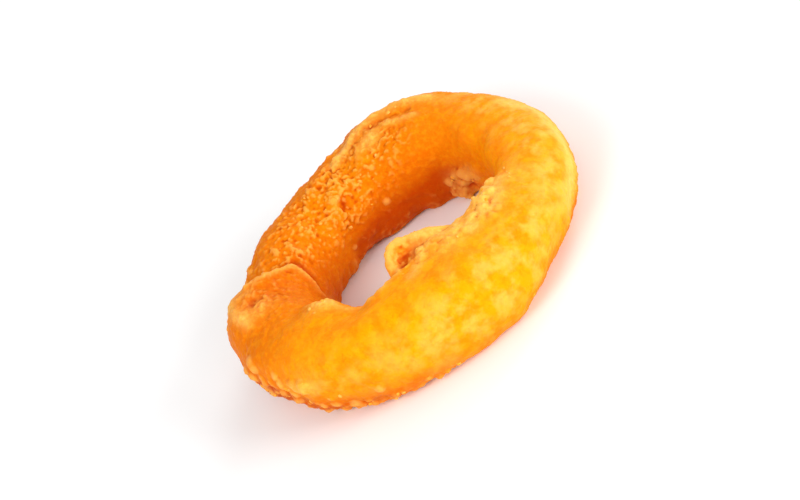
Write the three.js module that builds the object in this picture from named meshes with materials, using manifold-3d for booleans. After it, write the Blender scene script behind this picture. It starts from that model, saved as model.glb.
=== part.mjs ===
// One battered, deep-fried onion ring, lying flat on its browned underside.
//
// Millimetres, +Z up. The origin is below the middle of the ring, on the surface it rests on.
// Two angles place everything on it. Angle "around" goes anticlockwise round the hole, seen from
// above, from +X: 90 is the back, 180 the left end, 270 the front. Angle "over" goes round the
// tube of dough at that place: 0 points away from the hole, 90 is the top, 180 faces the hole and
// 270 is the underside.

import * as THREE from 'three';
import { mergeVertices } from 'three/addons/utils/BufferGeometryUtils.js';
import { ImprovedNoise } from 'three/addons/math/ImprovedNoise.js';
import Module from 'manifold-3d';

const wasm = await Module();
wasm.setup();

// ---- Driving sizes, in millimetres and degrees ----

// The line through the middle of the dough: an oval, whose longer half points at longAt.
const LOOP = { radius: 27.2, oval: 1.9, longAt: 19, squareness: 0.35, squareAt: 40 };

// The dough's cross-section: a circle squared off a little by the slice of onion inside it.
const DOUGH = { halfWidth: 8.2, halfHeight: 8.4, squareness: 2.2, flatBelow: 0.3 };

// How the dough swells and rises along the loop: so many waves, their height, and a crest's place.
const SWELLS = [
  { waves: 1, height: 0.5, crestAt: 168 },
  { waves: 2, height: 0.35, crestAt: 75 },
  { waves: 3, height: 0.25, crestAt: 20 },
];
const RISES = [
  { waves: 2, height: 0.35, crestAt: 55 },
  { waves: 3, height: 0.2, crestAt: 100 },
];

// Puffs and puckers of the skin: the spacing of their crests, and how high they stand. A shift
// moves the pattern, so that no two patterns have their crests in the same places.
const SKIN = [
  { spacing: 15, height: 1.1, shift: [0, 0, 0] },
  { spacing: 7.5, height: 0.55, shift: [7.3, 0, 2.1] },
  { spacing: 3.6, height: 0.4, shift: [14.6, 0, 4.2] },
];

// Flakes of crust: patches whose skin stands a step higher, most of them on top of the browner back.
// Level is the share of the height that lies below the plain skin.
const FLAKES = {
  spacing: 4.0, height: 1.0, level: 0.4, edge: [0.02, 0.22], shift: [3.1, 1.7, 0],
  around: 104, over: 118, along: 13, across: 7,
};

// The craggy lips where batter ran to the edges of the hole and hung there while it set: so much
// of the height is even, and so much rises and falls.
const LIPS = [
  { over: 140, width: 15, height: 1.0, even: 0.45, uneven: 0.9, spacing: 4.5, shift: [0, 0, 0.37] },
  { over: 222, width: 16, height: 1.5, even: 0.45, uneven: 0.9, spacing: 3.6, shift: [11, 0, 5.87] },
];

// Single humps and hollows, each a soft oval: its place, its reach along and over, its height.
const HUMPS = [
  { name: 'left_knob', around: 174, over: 52, along: 3.2, across: 4.5, height: 1.5 },
  { name: 'left_hollow', around: 163, over: 48, along: 2.6, across: 7, height: -2.4 },
  { name: 'left_dip', around: 177, over: 106, along: 3.0, across: 3.6, height: -1.1 },
  { name: 'left_end', around: 187, over: 8, along: 5.5, across: 6, height: 1.6 },
  { name: 'left_lip', around: 212, over: 128, along: 3.0, across: 3.2, height: 1.6 },
  { name: 'lip_dip', around: 233, over: 132, along: 2.8, across: 4.5, height: -1.7 },
  { name: 'back_pit', around: 98, over: 128, along: 2.6, across: 2.2, height: -0.9 },
  { name: 'back_shoulder', around: 68, over: 44, along: 10, across: 8, height: 2.3 },
  { name: 'right_flat', around: 27, over: 35, along: 9, across: 6, height: -1.5 },
  { name: 'back_left_flat', around: 117, over: 25, along: 7, across: 7, height: -1.2 },
  { name: 'inner_ledge', around: 52, over: 236, along: 9, across: 3.4, height: 3.0 },
  { name: 'flap_mound', around: 272, over: 130, along: 4.5, across: 3.2, height: 0.9 },
  { name: 'front_lip', around: 296, over: 146, along: 6.5, across: 4.5, height: 3.7 },
  { name: 'right_lip', around: 323, over: 140, along: 4.2, across: 4, height: 3.0 },
  { name: 'front_flat', around: 326, over: 330, along: 9, across: 6, height: -1.3 },
  { name: 'front_belly', around: 258, over: 312, along: 6, across: 5, height: 0.9 },
  { name: 'foot_flat', around: 236, over: 320, along: 4, across: 5, height: -0.5 },
  { name: 'foot_groove', around: 199, over: 354, along: 3.2, across: 1.6, height: -1.0 },
];

// The batter's overlap at the left: it steps up at stepAt, highest over middle, and thins out again
// over fadeOver. It reaches so far round the tube on each side. Its edge is a raised rim with a
// crease behind it, and a tongue of it reaches further back over tongueOver.
const OVERLAP = {
  stepAt: 163.5, lean: 6, height: 1.8, sharpness: 2.4, fadeOver: 14, middle: 58, reach: 52,
  tongue: 1.6, tongueOver: 128, tongueWidth: 16,
  rim: 0.6, rimAt: 1.1, crease: 0.6, creaseAt: -1.3, edgeWidth: 0.9, edgeReach: 62,
};

// The torn flap of batter that stands off the front lip into the hole: a thick lobe, square at its
// torn end and thinning out in a tail along the lip, its face cupped between raised rims.
const FLAP = {
  around: 262.6, over: 138, rise: 38, middle: 0.3, height: 5.1, torn: 4.3, tail: 11.5,
  tornSquareness: 5.0, tailSquareness: 1.15, rootSquareness: 2,
  thickness: 2.4, rimSquareness: 0.6,
  cup: 1.5, cupAlong: -0.6, cupUp: 1.6, cupReach: 1.8,
  curl: 0.7, roughness: 0.45, spacing: 2.6, shift: [0, 0, 0.5], rings: 10, spokes: 26,
};

// The largest crumbs of batter: the place, half width and length of each, as so many half widths.
const LUMPS = [
  { name: 'hole_high', around: 25, over: 190, size: 1.8, length: 1.2 },
  { name: 'hole_long', around: 36, over: 197, size: 1.7, length: 1.5 },
  { name: 'hole_low', around: 42, over: 214, size: 1.6, length: 1.1 },
  { name: 'hole_ridge', around: 31, over: 223, size: 1.2, length: 1.7 },
  { name: 'lip_wide', around: 328, over: 110, size: 1.4, length: 1.3 },
  { name: 'lip_round', around: 316, over: 99, size: 1.15, length: 1.1 },
  { name: 'lip_low', around: 308, over: 108, size: 0.95, length: 1.2 },
  { name: 'belly_long', around: 216, over: 20, size: 1.25, length: 1.4 },
  { name: 'belly_round', around: 208, over: 11, size: 1.0, length: 1.1 },
  { name: 'belly_high', around: 195, over: 36, size: 0.9, length: 1.0 },
  { name: 'foot_end', around: 190, over: 347, size: 0.9, length: 1.1 },
  { name: 'foot_long', around: 194, over: 340, size: 1.1, length: 1.4 },
  { name: 'foot_small', around: 200, over: 334, size: 0.9, length: 1.0 },
  { name: 'foot_round', around: 208, over: 327, size: 1.1, length: 1.2 },
  { name: 'foot_front', around: 243, over: 308, size: 1.15, length: 1.4 },
];

// Smaller crumbs that stuck in clusters: how many, how far they spread, and their half width.
const CLUSTERS = [
  { name: 'right_lip', around: 320, over: 112, count: 6, along: 4.5, across: 2.2, size: 0.9 },
  { name: 'flap_foot', around: 279, over: 128, count: 6, along: 3.5, across: 1.6, size: 0.95 },
  { name: 'left_lip', around: 215, over: 127, count: 2, along: 1.6, across: 0.9, size: 0.95 },
  { name: 'back_flecks', around: 71, over: 62, count: 5, along: 4.0, across: 1.5, size: 0.8 },
  { name: 'squiggles', around: 100, over: 132, count: 6, along: 6.0, across: 3.0, size: 0.9 },
  { name: 'left_foot', around: 202, over: 352, count: 5, along: 4.0, across: 2.6, size: 0.8 },
  { name: 'front_foot', around: 229, over: 315, count: 6, along: 6.0, across: 1.6, size: 0.95 },
  { name: 'left_edge', around: 158, over: 38, count: 4, along: 2.8, across: 2.6, size: 0.85 },
  { name: 'back_foot', around: 115, over: 328, count: 7, along: 8, across: 2.2, size: 1.0 },
  { name: 'right_foot', around: 5, over: 322, count: 6, along: 7, across: 2.0, size: 1.0 },
  { name: 'hole_back', around: 118, over: 205, count: 5, along: 6, across: 2.4, size: 1.0 },
  { name: 'hole_left', around: 186, over: 214, count: 4, along: 3, across: 1.8, size: 1.0 },
];
const CRUMB = {
  sizeSpread: 0.35, sunk: 0.36, flatness: 0.8, lumpiness: 0.22, roundFrom: 1.12, offFloor: 0.2,
  seed: 4711,
};

// How finely the dough is cut into facets, along the loop and round the tube. They are crowded
// together towards finestAt, where the overlap is.
const FACETS = { along: 122, over: 30, finestAt: 172, crowding: 0.2 };

const COLOURS = { batter: '#f2a03a' };

// ---- Small helpers ----

const radians = THREE.MathUtils.degToRad;
const noise = new ImprovedNoise();

/** A whole number of waves round a full turn, with a crest at crestAt degrees. */
function wave({ waves, height, crestAt }, around) {
  return height * Math.cos(waves * (around - radians(crestAt)));
}

/** The smallest signed turn from one angle to another, in radians. */
function turn(from, to) {
  return Math.atan2(Math.sin(to - from), Math.cos(to - from));
}

/** A bell of height 1 that has fallen to 0.6 at one reach from its middle. */
function bell(distance, reach) {
  return Math.exp(-0.5 * (distance / reach) ** 2);
}

/** Smooth noise, between about -1 and 1, with crests so far apart. */
function crests({ x, y, z }, { spacing, shift }) {
  return noise.noise(x / spacing + shift[0], y / spacing + shift[1], z / spacing + shift[2]);
}

// ---- The dough ----

/** Distance of the dough's middle line from the centre. */
function loopRadius(around) {
  return LOOP.radius
    + LOOP.oval * Math.cos(2 * (around - radians(LOOP.longAt)))
    + LOOP.squareness * Math.cos(4 * (around - radians(LOOP.squareAt)));
}

/** How much thicker than usual the dough is at a place on the loop. */
function swell(around) {
  return SWELLS.reduce((sum, s) => sum + wave(s, around), 0);
}

/** Height of the dough's middle line above the surface it rests on. */
function middleHeight(around) {
  const lift = RISES.reduce((sum, r) => sum + wave(r, around), 0);
  return DOUGH.halfHeight + swell(around) - DOUGH.flatBelow + lift;
}

/** The plain cross-section, as a distance outwards and a height from the middle line. */
function section(around, over) {
  const c = Math.cos(over);
  const s = Math.sin(over);
  const n = DOUGH.squareness;
  const reach = (Math.abs(c) ** n + Math.abs(s) ** n) ** (-1 / n);
  return {
    out: (DOUGH.halfWidth + swell(around)) * reach * c,
    up: (DOUGH.halfHeight + swell(around)) * reach * s,
  };
}

/** A point of the plain dough, before its skin is roughened. */
function doughPoint(around, over) {
  const { out, up } = section(around, over);
  const r = loopRadius(around) + out;
  return new THREE.Vector3(
    r * Math.cos(around),
    r * Math.sin(around),
    middleHeight(around) + up,
  );
}

/** The way out of the dough at a point: straight away from its middle line. */
function outwards(around, over) {
  return new THREE.Vector3(
    Math.cos(around) * Math.cos(over),
    Math.sin(around) * Math.cos(over),
    Math.sin(over),
  );
}

// ---- The skin's relief ----

/** Puffs and puckers all over. */
function puckers(p) {
  return SKIN.reduce((sum, layer) => sum + layer.height * crests(p, layer), 0);
}

/** The craggy lips on both edges of the hole, uneven along their length. */
function lips(over, { x, y }) {
  return LIPS.reduce((sum, lip) => {
    const near = bell(turn(radians(lip.over), over), radians(lip.width));
    return sum + lip.height * near * (lip.even + lip.uneven * crests({ x, y, z: 0 }, lip));
  }, 0);
}

/** The single humps and hollows. */
function humps(around, over) {
  return HUMPS.reduce((sum, hump) => {
    const along = turn(radians(hump.around), around) * LOOP.radius;
    const across = turn(radians(hump.over), over) * DOUGH.halfWidth;
    return sum + hump.height * bell(along, hump.along) * bell(across, hump.across);
  }, 0);
}

/** The overlap: a step that crosses the dough, steep on one side and fading on the other. */
function overlap(around, over) {
  const lean = radians(OVERLAP.lean) * Math.cos(over);
  const tongue = OVERLAP.tongue
    * bell(turn(radians(OVERLAP.tongueOver), over), radians(OVERLAP.tongueWidth));
  const past = turn(radians(OVERLAP.stepAt) + lean, around) * LOOP.radius + tongue;
  const step = 1 / (1 + Math.exp(-OVERLAP.sharpness * past));
  const fade = bell(Math.max(past, 0), OVERLAP.fadeOver);
  const across = bell(turn(radians(OVERLAP.middle), over), radians(OVERLAP.reach));
  const edge = OVERLAP.rim * bell(past - OVERLAP.rimAt, OVERLAP.edgeWidth)
    - OVERLAP.crease * bell(past - OVERLAP.creaseAt, OVERLAP.edgeWidth);
  const edgeAcross = bell(turn(radians(OVERLAP.middle), over), radians(OVERLAP.edgeReach));
  return OVERLAP.height * step * fade * across + edge * edgeAcross;
}

/** The flakes: steps between two levels of crust, along the winding edges of a noise. */
function flakes(around, over, p) {
  const along = turn(radians(FLAKES.around), around) * LOOP.radius;
  const across = turn(radians(FLAKES.over), over) * DOUGH.halfWidth;
  const near = bell(along, FLAKES.along) * bell(across, FLAKES.across);
  const step = THREE.MathUtils.smoothstep(crests(p, FLAKES), ...FLAKES.edge);
  return FLAKES.height * near * (step - FLAKES.level);
}

/** A point of the finished skin. It never goes below the surface that the ring rests on. */
function skinPoint(around, over) {
  const p = doughPoint(around, over);
  const relief = puckers(p) + flakes(around, over, p) + lips(over, p)
    + humps(around, over) + overlap(around, over);
  p.addScaledVector(outwards(around, over), relief);
  p.z = Math.max(p.z, 0);
  return p;
}

/** The angle of a facet's corner, from its share of the way round: closest together at finestAt. */
function facetAround(share) {
  const even = 2 * Math.PI * share;
  return even - FACETS.crowding * Math.sin(even - radians(FACETS.finestAt));
}

/** The dough as one closed torus, bent and roughened into shape. */
function doughGeometry() {
  const torus = new THREE.TorusGeometry(
    LOOP.radius, DOUGH.halfWidth, FACETS.over, FACETS.along,
  );
  const position = torus.getAttribute('position');
  const uv = torus.getAttribute('uv');
  for (let i = 0; i < position.count; i += 1) {
    const p = skinPoint(facetAround(uv.getX(i) % 1), 2 * Math.PI * (uv.getY(i) % 1));
    position.setXYZ(i, p.x, p.y, p.z);
  }
  return torus;
}

// ---- The flap ----

/** The point of the flap's outline that lies in one direction from its middle. */
function flapOutline(direction) {
  const along = Math.cos(direction);
  const up = Math.sin(direction);
  const [length, squareness] = along < 0
    ? [FLAP.torn, FLAP.tornSquareness] : [FLAP.tail, FLAP.tailSquareness];
  const n = up < 0 ? FLAP.rootSquareness : squareness;
  const reach = (Math.abs(along) ** n + Math.abs(up) ** n) ** (-1 / n);
  return { x: length * reach * along, y: FLAP.height * reach * up };
}

/** A point of the flat flap, from a point of the unit sphere whose poles are on its two faces. */
function flapPoint(p) {
  const share = Math.hypot(p.x, p.y);
  const edge = flapOutline(Math.atan2(p.y, p.x));
  const x = share * edge.x;
  const y = FLAP.middle + share * edge.y;
  const free = Math.max(y, 0) / FLAP.height;
  const half = 0.5 * FLAP.thickness * Math.abs(p.z) ** FLAP.rimSquareness;
  const cup = FLAP.cup * bell(x - FLAP.cupAlong, FLAP.cupReach) * bell(y - FLAP.cupUp, FLAP.cupReach);
  const rough = FLAP.roughness * crests({ x, y, z: 0 }, FLAP);
  return new THREE.Vector3(x, y, Math.sign(p.z) * half - cup + free * rough);
}

/** The flap, bent to follow the lip that it stands on, and curled up at its free edge. */
function flapGeometry() {
  const flap = new THREE.SphereGeometry(1, FLAP.spokes, FLAP.rings);
  flap.rotateX(Math.PI / 2);
  const lip = skinPoint(radians(FLAP.around), radians(FLAP.over));
  const lipRadius = Math.hypot(lip.x, lip.y);
  const rise = radians(FLAP.rise);
  const position = flap.getAttribute('position');
  const p = new THREE.Vector3();
  for (let i = 0; i < position.count; i += 1) {
    const { x, y, z } = flapPoint(p.fromBufferAttribute(position, i));
    const free = Math.max(y, 0) / FLAP.height;
    const inward = y * Math.cos(rise) - z * Math.sin(rise);
    const upward = y * Math.sin(rise) + z * Math.cos(rise) + FLAP.curl * free ** 2;
    const around = radians(FLAP.around) + x / lipRadius;
    const root = skinPoint(around, radians(FLAP.over));
    const r = Math.hypot(root.x, root.y) - inward;
    position.setXYZ(i, r * Math.cos(around), r * Math.sin(around), root.z + upward);
  }
  return flap;
}

// ---- The crumbs ----

/** An even random number between -1 and 1, from the seeded draw. */
function scatter() {
  return 2 * THREE.MathUtils.seededRandom() - 1;
}

/** One crumb: a rough little stone of batter, sunk into the skin where it stuck. */
function crumbGeometry({ around, over, size, length }) {
  const crumb = new THREE.IcosahedronGeometry(size, size > CRUMB.roundFrom ? 1 : 0);
  const position = crumb.getAttribute('position');
  const shift = 10 * scatter();
  const p = new THREE.Vector3();
  for (let i = 0; i < position.count; i += 1) {
    p.fromBufferAttribute(position, i);
    const lump = 1 + CRUMB.lumpiness * noise.noise(p.x / size + shift, p.y / size, p.z / size);
    position.setXYZ(i, p.x * lump * length, p.y * lump, p.z * lump * CRUMB.flatness);
  }
  const along = new THREE.Vector3(-Math.sin(around), Math.cos(around), 0);
  const out = outwards(around, over);
  const across = new THREE.Vector3().crossVectors(out, along);
  crumb.applyMatrix4(new THREE.Matrix4().makeBasis(along, across, out));
  const seat = skinPoint(around, over).addScaledVector(out, -CRUMB.sunk * size);
  seat.z = Math.max(seat.z, size + CRUMB.offFloor);
  crumb.translate(seat.x, seat.y, seat.z);
  return crumb;
}

/** One of the largest crumbs, where it is known to be. */
function lumpGeometry(lump) {
  return crumbGeometry({ ...lump, around: radians(lump.around), over: radians(lump.over) });
}

/** One crumb of a cluster, somewhere in its reach. */
function strayGeometry(cluster) {
  return crumbGeometry({
    around: radians(cluster.around) + (scatter() * cluster.along) / LOOP.radius,
    over: radians(cluster.over) + (scatter() * cluster.across) / DOUGH.halfWidth,
    size: cluster.size * (1 + CRUMB.sizeSpread * scatter()),
    length: 1,
  });
}

/** Every crumb: the largest ones, and every one of every cluster. */
function crumbGeometries() {
  THREE.MathUtils.seededRandom(CRUMB.seed);
  const strays = CLUSTERS.flatMap(
    (cluster) => Array.from({ length: cluster.count }, () => strayGeometry(cluster)),
  );
  return [...LUMPS.map(lumpGeometry), ...strays];
}

// ---- Joining ----

/** A closed geometry as a solid that can be joined. */
function solid(geometry) {
  const bare = geometry.clone();
  bare.deleteAttribute('normal');
  bare.deleteAttribute('uv');
  const merged = mergeVertices(bare, 1e-4);
  return new wasm.Manifold(new wasm.Mesh({
    numProp: 3,
    vertProperties: merged.getAttribute('position').array,
    triVerts: new Uint32Array(merged.index.array),
  }));
}

/** A solid's surface as a geometry that three.js can show. */
function geometryOf(joined) {
  const mesh = joined.getMesh();
  const geometry = new THREE.BufferGeometry();
  geometry.setAttribute('position', new THREE.BufferAttribute(mesh.vertProperties, 3));
  geometry.setIndex(new THREE.BufferAttribute(mesh.triVerts, 1));
  geometry.computeVertexNormals();
  return geometry;
}

/** The whole ring: dough, flap and crumbs fused into one solid, centred over the origin. */
function ringGeometry() {
  const joined = [flapGeometry(), ...crumbGeometries()]
    .map(solid)
    .reduce((whole, piece) => whole.add(piece), solid(doughGeometry()));
  const geometry = geometryOf(joined);
  geometry.computeBoundingBox();
  const { min, max } = geometry.boundingBox;
  geometry.translate(-(min.x + max.x) / 2, -(min.y + max.y) / 2, -min.z);
  return geometry;
}

const batter = new THREE.MeshStandardMaterial({
  color: COLOURS.batter,
  roughness: 0.55,
  metalness: 0,
});

const ring = new THREE.Mesh(ringGeometry(), batter);
ring.name = 'onion_ring';

const part = new THREE.Group();
part.add(ring);

export default part;
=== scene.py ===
"""A battered, deep-fried onion ring on a pale studio floor.

Everything is in metres, +Z up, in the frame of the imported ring. Two angles place things on it.
"around" goes anticlockwise round the hole from +X, seen from above: 90 is the back and 270 the
front. "over" goes round the tube of dough there: 0 is its outer side, 90 its top, 180 faces the
hole and 270 is its underside. Only the thin flap, which stands clear of the tube, is placed by
x, y and z, in millimetres.
"""

import logging
import math
from dataclasses import dataclass
from enum import Enum

import bpy
import numpy as np
from bpy.types import Material, Node, NodeSocket, NodeTree, Object, Texture
from mathutils import Matrix, Quaternion, Vector


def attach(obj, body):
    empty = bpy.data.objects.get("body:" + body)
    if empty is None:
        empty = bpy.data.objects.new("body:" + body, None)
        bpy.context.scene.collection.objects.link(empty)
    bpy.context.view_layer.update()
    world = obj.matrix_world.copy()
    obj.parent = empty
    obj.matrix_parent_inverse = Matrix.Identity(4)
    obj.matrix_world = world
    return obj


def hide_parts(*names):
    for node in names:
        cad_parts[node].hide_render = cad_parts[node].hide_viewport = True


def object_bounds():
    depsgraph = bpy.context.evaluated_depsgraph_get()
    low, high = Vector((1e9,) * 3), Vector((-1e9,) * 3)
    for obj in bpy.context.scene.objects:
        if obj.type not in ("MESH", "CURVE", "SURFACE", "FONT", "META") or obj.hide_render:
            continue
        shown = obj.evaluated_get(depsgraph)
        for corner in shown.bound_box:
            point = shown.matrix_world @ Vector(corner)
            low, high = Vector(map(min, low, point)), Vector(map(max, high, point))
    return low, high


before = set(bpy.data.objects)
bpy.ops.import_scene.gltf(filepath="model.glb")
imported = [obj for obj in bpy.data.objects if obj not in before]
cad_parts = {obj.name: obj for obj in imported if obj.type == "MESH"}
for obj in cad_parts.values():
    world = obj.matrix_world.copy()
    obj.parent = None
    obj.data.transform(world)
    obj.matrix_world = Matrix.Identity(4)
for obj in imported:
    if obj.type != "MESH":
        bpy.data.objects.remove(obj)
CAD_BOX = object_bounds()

LOG = logging.getLogger("onion_ring_scene")
MM = 0.001
MERGE_DISTANCE = 0.001 * MM
NODE = "onion_ring"
BODY = "root"
WHITE = (1.0, 1.0, 1.0, 1.0)
Colour = tuple[float, float, float]


# ---- Working with Blender's tools ----


def only(obj: Object) -> None:
    """Makes one object the only selected one, and the active one.

    Args:
        obj: The object to select.
    """
    bpy.ops.object.select_all(action="DESELECT")
    obj.select_set(True)
    bpy.context.view_layer.objects.active = obj


def apply_modifier(obj: Object, kind: str, **settings: object) -> None:
    """Adds a modifier to an object, sets it and applies it at once.

    Args:
        obj: The mesh object.
        kind: Blender's name for the modifier type.
        settings: Its properties and their values.
    """
    only(obj)
    modifier = obj.modifiers.new(kind.lower(), kind)
    for name, value in settings.items():
        setattr(modifier, name, value)
    bpy.ops.object.modifier_apply(modifier=modifier.name)


def soften(obj: Object, times: int) -> None:
    """Smooths a mesh.

    Args:
        obj: The mesh object.
        times: How many times each vertex moves halfway to the middle of its neighbours.
    """
    apply_modifier(obj, "SMOOTH", factor=0.5, iterations=times)


def copy_of(obj: Object, name: str) -> Object:
    """Copies a mesh object with a mesh of its own, free of any parent.

    Args:
        obj: The object to copy.
        name: The copy's name.

    Returns:
        The copy, in the scene's collection.
    """
    copy = bpy.data.objects.new(name, obj.data.copy())
    copy.data.name = name
    bpy.context.scene.collection.objects.link(copy)
    return copy


def join(pieces: list[Object]) -> Object:
    """Joins objects into the first of them.

    Args:
        pieces: The objects, which become one.

    Returns:
        The first object, which now holds them all.
    """
    only(pieces[0])
    for piece in pieces[1:]:
        piece.select_set(True)
    bpy.ops.object.join()
    return pieces[0]


def points_of(obj: Object, kind: str = "co") -> np.ndarray:
    """Reads a mesh's vertices.

    Args:
        obj: The mesh object.
        kind: "co" for their places in metres, or "normal" for their unit normals.

    Returns:
        One row of x, y and z for each vertex.
    """
    points = np.empty(len(obj.data.vertices) * 3)
    obj.data.vertices.foreach_get(kind, points)
    return points.reshape(-1, 3)


def store(obj: Object, name: str, values: np.ndarray) -> None:
    """Keeps one number for each vertex, for the material to read.

    Args:
        obj: The mesh object.
        name: The attribute's name.
        values: One number for each vertex.
    """
    attribute = obj.data.attributes.new(name, "FLOAT", "POINT")
    attribute.data.foreach_set("value", values.astype(np.float32))


def smooth_step(values: np.ndarray, low: float, high: float) -> np.ndarray:
    """Rises smoothly from 0 to 1.

    Args:
        values: The numbers to turn into steps.
        low: Where the rise starts.
        high: Where it ends.

    Returns:
        A number between 0 and 1 for each value.
    """
    t = np.clip((values - low) / (high - low), 0, 1)
    return t * t * (3 - 2 * t)


def bell(squares: np.ndarray) -> np.ndarray:
    """Falls off softly from 1, given the squares of distances that are counted in reaches."""
    return np.exp(-0.5 * squares)


# ---- Places on the ring ----


@dataclass(frozen=True)
class Places:
    """Points on the ring, in metres, with their angles around and over, in radians."""

    points: np.ndarray
    around: np.ndarray
    over: np.ndarray


@dataclass(frozen=True)
class Patch:
    """A soft oval on the ring: its place in degrees, its reach in millimetres, its strength.

    The reach along is round the hole, and the reach across is round the tube.
    """

    around: float
    over: float
    along: float
    across: float
    strength: float = 1.0

    def weight(self, line: "DoughLine", places: Places) -> np.ndarray:
        """Finds how strongly the oval covers places on the ring.

        Args:
            line: The line through the middle of the dough.
            places: The places.

        Returns:
            A weight for each place.
        """
        along, across = line.offsets(places, self.around, self.over)
        squares = (along / (self.along * MM)) ** 2 + (across / (self.across * MM)) ** 2
        return self.strength * bell(squares)


@dataclass(frozen=True)
class Seam:
    """A soft line on the ring: its path in degrees around and over, its width in millimetres.

    The shift moves the whole line that many millimetres round the hole. The steps are the stops
    on each leg of the path that distances are measured to.
    """

    path: tuple[tuple[float, float], ...]
    width: float
    strength: float = 1.0
    shift: float = 0.0
    steps: int = 8

    def weight(self, line: "DoughLine", places: Places) -> np.ndarray:
        """Finds how strongly the line covers places on the ring.

        Args:
            line: The line through the middle of the dough.
            places: The places.

        Returns:
            A weight for each place.
        """
        corners = np.array(self.path, dtype=float)
        ends = np.arange(len(corners))
        stops = np.linspace(0, ends[-1], self.steps * ends[-1] + 1)
        turns, tilts = (np.interp(stops, ends, corners[:, k]) for k in range(2))
        nearest = np.full(len(places.around), np.inf)
        for turn, tilt in zip(turns, tilts):
            along, across = line.offsets(places, turn, tilt)
            nearest = np.minimum(nearest, (along - self.shift * MM) ** 2 + across**2)
        return self.strength * bell(nearest / (self.width * MM) ** 2)


@dataclass(frozen=True)
class Edge:
    """A soft line in space, for the thin flap: its path and its width, both in millimetres."""

    path: tuple[tuple[float, float, float], ...]
    width: float
    strength: float = 1.0

    def weight(self, line: "DoughLine", places: Places) -> np.ndarray:
        """Finds how strongly the line covers places on the ring.

        Args:
            line: The line through the middle of the dough, which this mark does not need.
            places: The places.

        Returns:
            A weight for each place.
        """
        nearest = np.full(len(places.points), np.inf)
        for start, end in zip(self.path, self.path[1:]):
            first = np.array(start) * MM
            span = np.array(end) * MM - first
            part = np.clip((places.points - first) @ span / (span @ span), 0, 1)
            gaps = places.points - first - part[:, None] * span
            nearest = np.minimum(nearest, (gaps**2).sum(axis=1))
        return self.strength * bell(nearest / (self.width * MM) ** 2)


Mark = Patch | Seam | Edge


class DoughLine:
    """The line through the middle of the dough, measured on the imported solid.

    The ring is cut into sectors like a cake. The skin's top in each is taken just under its
    highest crags, and the line is averaged over as many neighbours to each side as blur says.
    """

    sectors = 72
    blur = 4
    tube_radius = 8.3 * MM
    top_percentile = 90

    def __init__(self, points: np.ndarray) -> None:
        """Measures the line.

        Args:
            points: The solid's vertices.
        """
        radius = np.hypot(points[:, 0], points[:, 1])
        sector = self._sector(np.arctan2(points[:, 1], points[:, 0])).astype(int) % self.sectors
        middle = np.empty(self.sectors)
        height = np.empty(self.sectors)
        for k in range(self.sectors):
            here = sector == k
            low = here & (points[:, 2] < 2 * self.tube_radius)
            middle[k] = (radius[low].min() + radius[low].max()) / 2
            height[k] = np.percentile(points[here, 2], self.top_percentile) / 2
        self.radius = self._soften(middle)
        self.height = self._soften(height)

    def _sector(self, turn: np.ndarray | float) -> np.ndarray | float:
        """Turns angles round the hole, in radians, into places in the row of sectors."""
        return (turn / (2 * math.pi) % 1) * self.sectors

    def _soften(self, values: np.ndarray) -> np.ndarray:
        """Averages each sector with its neighbours, all the way round."""
        reach = range(-self.blur, self.blur + 1)
        return sum(np.roll(values, k) for k in reach) / len(reach)

    def _at(self, values: np.ndarray, turn: np.ndarray | float) -> np.ndarray | float:
        """Reads a value per sector at any angles, in radians, between the sectors' middles."""
        place = self._sector(turn) - 0.5
        return np.interp(place, np.arange(self.sectors), values, period=self.sectors)

    def angles(self, points: np.ndarray) -> tuple[np.ndarray, np.ndarray]:
        """Finds where points are on the ring.

        Args:
            points: One row for each point.

        Returns:
            The angles around and over, in radians.
        """
        around = np.arctan2(points[:, 1], points[:, 0])
        out = np.hypot(points[:, 0], points[:, 1]) - self._at(self.radius, around)
        up = points[:, 2] - self._at(self.height, around)
        return around, np.arctan2(up, out)

    def offsets(self, places: Places, around: float, over: float) -> tuple[np.ndarray, np.ndarray]:
        """Measures how far places are from one place, round the hole and round the tube.

        Args:
            places: The places.
            around: The one place's angle round the hole, in degrees.
            over: The one place's angle round the tube, in degrees.

        Returns:
            The two distances along the skin for each place, in metres.
        """
        turn, tilt = math.radians(around), math.radians(over)
        radius = self._at(self.radius, turn)
        along = np.angle(np.exp(1j * (places.around - turn))) * radius
        across = np.angle(np.exp(1j * (places.over - tilt))) * self.tube_radius
        return along, across

    def mask(self, points: np.ndarray, marks: tuple[Mark, ...]) -> np.ndarray:
        """Adds up soft ovals and lines.

        Args:
            points: One row for each point.
            marks: The ovals and lines.

        Returns:
            Their sum at each point, between 0 and 1.
        """
        places = Places(points, *self.angles(points))
        return np.clip(sum(mark.weight(self, places) for mark in marks), 0, 1)

    def seat(self, around: float, over: float) -> tuple[Vector, Vector]:
        """Finds the line's point at an angle, and the way out of the dough there.

        Args:
            around: The angle round the hole, in radians.
            over: The angle round the tube, in radians.

        Returns:
            A point in the middle of the dough, and a unit vector.
        """
        radius = self._at(self.radius, around)
        height = self._at(self.height, around)
        middle = Vector((radius * math.cos(around), radius * math.sin(around), height))
        out = Vector((
            math.cos(around) * math.cos(over),
            math.sin(around) * math.cos(over),
            math.sin(over),
        ))
        return middle, out


class Zone(Enum):
    """The stretches of the ring whose relief differs."""

    EVERYWHERE = "everywhere"
    RIDGED = "ridged"
    CREASED = "creased"
    LIP = "lip"
    SQUIGGLY = "squiggly"
    CRAGGY = "craggy"


class Tone(Enum):
    """What the material reads from the mesh: the skin's colours, painted shade and highlights."""

    # Painted shade in creases, pits, the hole and along the low sides; partly real browning.
    BROWNED = "browned"
    # Painted shade over the back, the left end and the hole's walls; partly real toasting.
    TOASTED = "toasted"
    # Paler batter on the right end and the outer sides, partly a painted highlight.
    CREAMY = "creamy"
    # Pale crumbs and lumps, with painted highlights along rims, ridges and edges.
    PALE = "pale"
    # Painted highlight on raised relief, partly paler thin crust.
    PROUD = "proud"
    # Painted shade in the small hollows of the relief.
    HOLLOW = "hollow"
    CRUMBS = "crumbs"


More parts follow.
